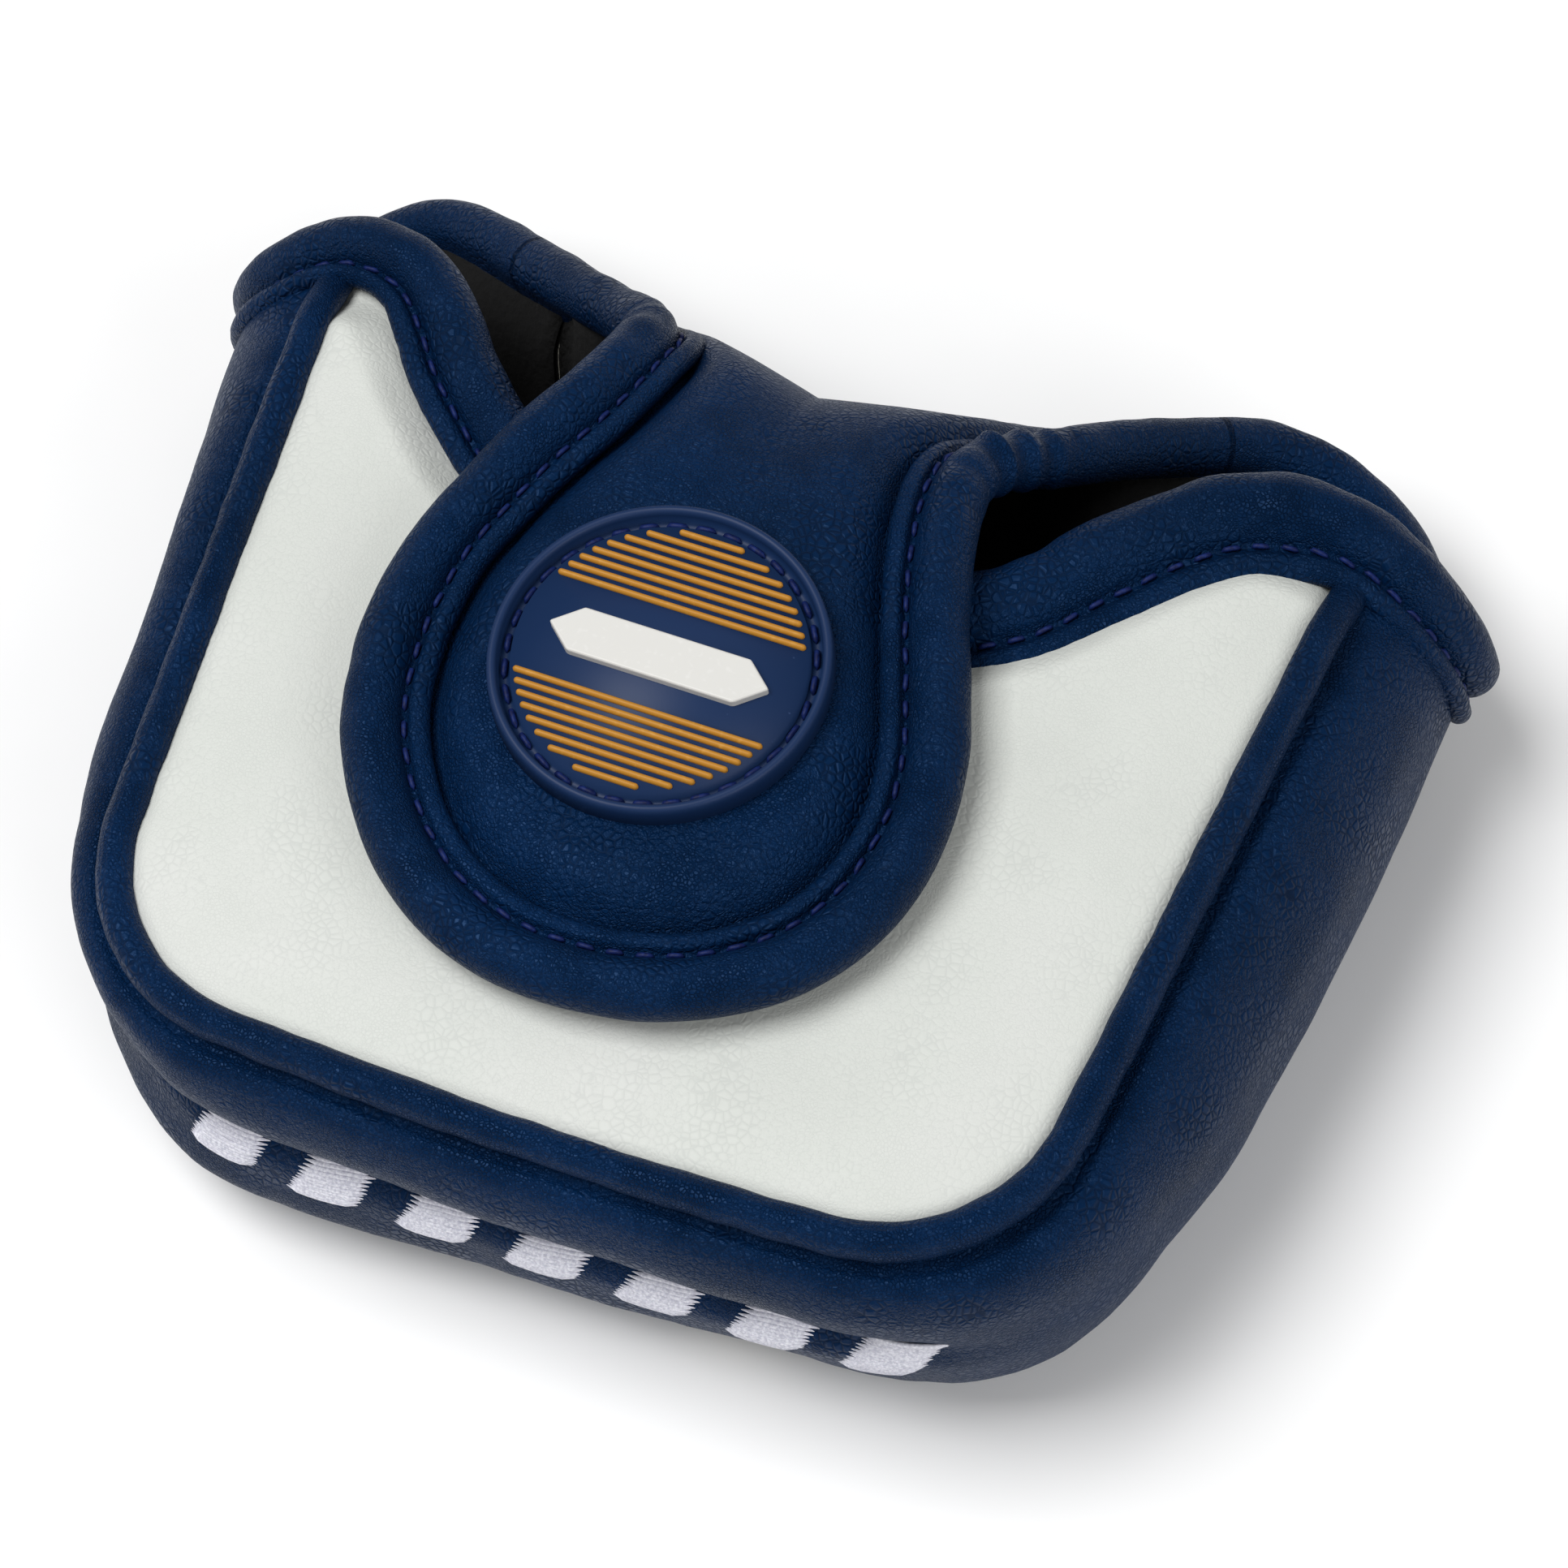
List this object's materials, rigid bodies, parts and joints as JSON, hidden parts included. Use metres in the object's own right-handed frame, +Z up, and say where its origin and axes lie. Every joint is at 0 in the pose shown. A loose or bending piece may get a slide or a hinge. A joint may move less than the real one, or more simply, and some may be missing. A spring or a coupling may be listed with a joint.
{
  "type": "putter head cover",
  "caption": "Padded cover for a mallet putter head: white top panel, navy gusset and rolled binding, and a magnetic flap with a round moulded badge that folds over the mouth.",
  "frame": {"origin": "centre of the bounding box at the surface that the cover lies on, under the bottom panel", "axes": "+X across the pouch to the right, +Y out of the mouth at the back, +Z up, from the bottom panel to the badge"},
  "size_m": [0.1564, 0.1258, 0.0532],
  "materials": {
    "white_leatherette": "fine grain, satin",
    "navy_leatherette": "pebbled grain, satin",
    "padding_foam": "soft open-cell foam",
    "plush_lining": "short pile",
    "filler_cord": "soft foam cord",
    "magnet_steel": "nickel plated",
    "badge_rubber_navy": "moulded soft PVC, matt",
    "badge_rubber_ochre": "moulded soft PVC, satin",
    "badge_rubber_white": "moulded soft PVC, satin",
    "navy_thread": "bonded polyester thread",
    "white_thread": "satin stitch embroidery thread"
  },
  "bodies": {
    "pouch": {"top_panel_skin": "white_leatherette", "top_panel_foam": "padding_foam", "top_panel_lining": "plush_lining", "bottom_panel_skin": "navy_leatherette", "bottom_panel_foam": "padding_foam", "bottom_panel_lining": "plush_lining", "gusset_skin": "navy_leatherette", "gusset_foam": "padding_foam", "gusset_lining": "plush_lining", "top_piping": "navy_leatherette", "top_piping_cord": "filler_cord", "bottom_piping": "navy_leatherette", "bottom_piping_cord": "filler_cord", "mouth_binding": "navy_leatherette", "mouth_binding_filler": "filler_cord", "top_panel_magnet": "magnet_steel", "mouth_stitching": "navy_thread", "front_embroidery": "white_thread"},
    "flap": {"flap_skin": "navy_leatherette", "flap_foam": "padding_foam", "flap_lining": "navy_leatherette", "flap_binding": "navy_leatherette", "flap_binding_filler": "filler_cord", "flap_magnet": "magnet_steel", "badge_base": "badge_rubber_navy", "badge_stripes": "badge_rubber_ochre", "badge_bar": "badge_rubber_white", "badge_stitching": "navy_thread", "flap_stitching": "navy_thread"}
  },
  "joints": [
    {"name": "flap_hinge", "type": "hinge", "parent": "pouch", "child": "flap", "pos_m": [0, 0.045, 0.03605], "axis": [-1, 0, 0], "range_deg": [0, 150]}
  ]
}
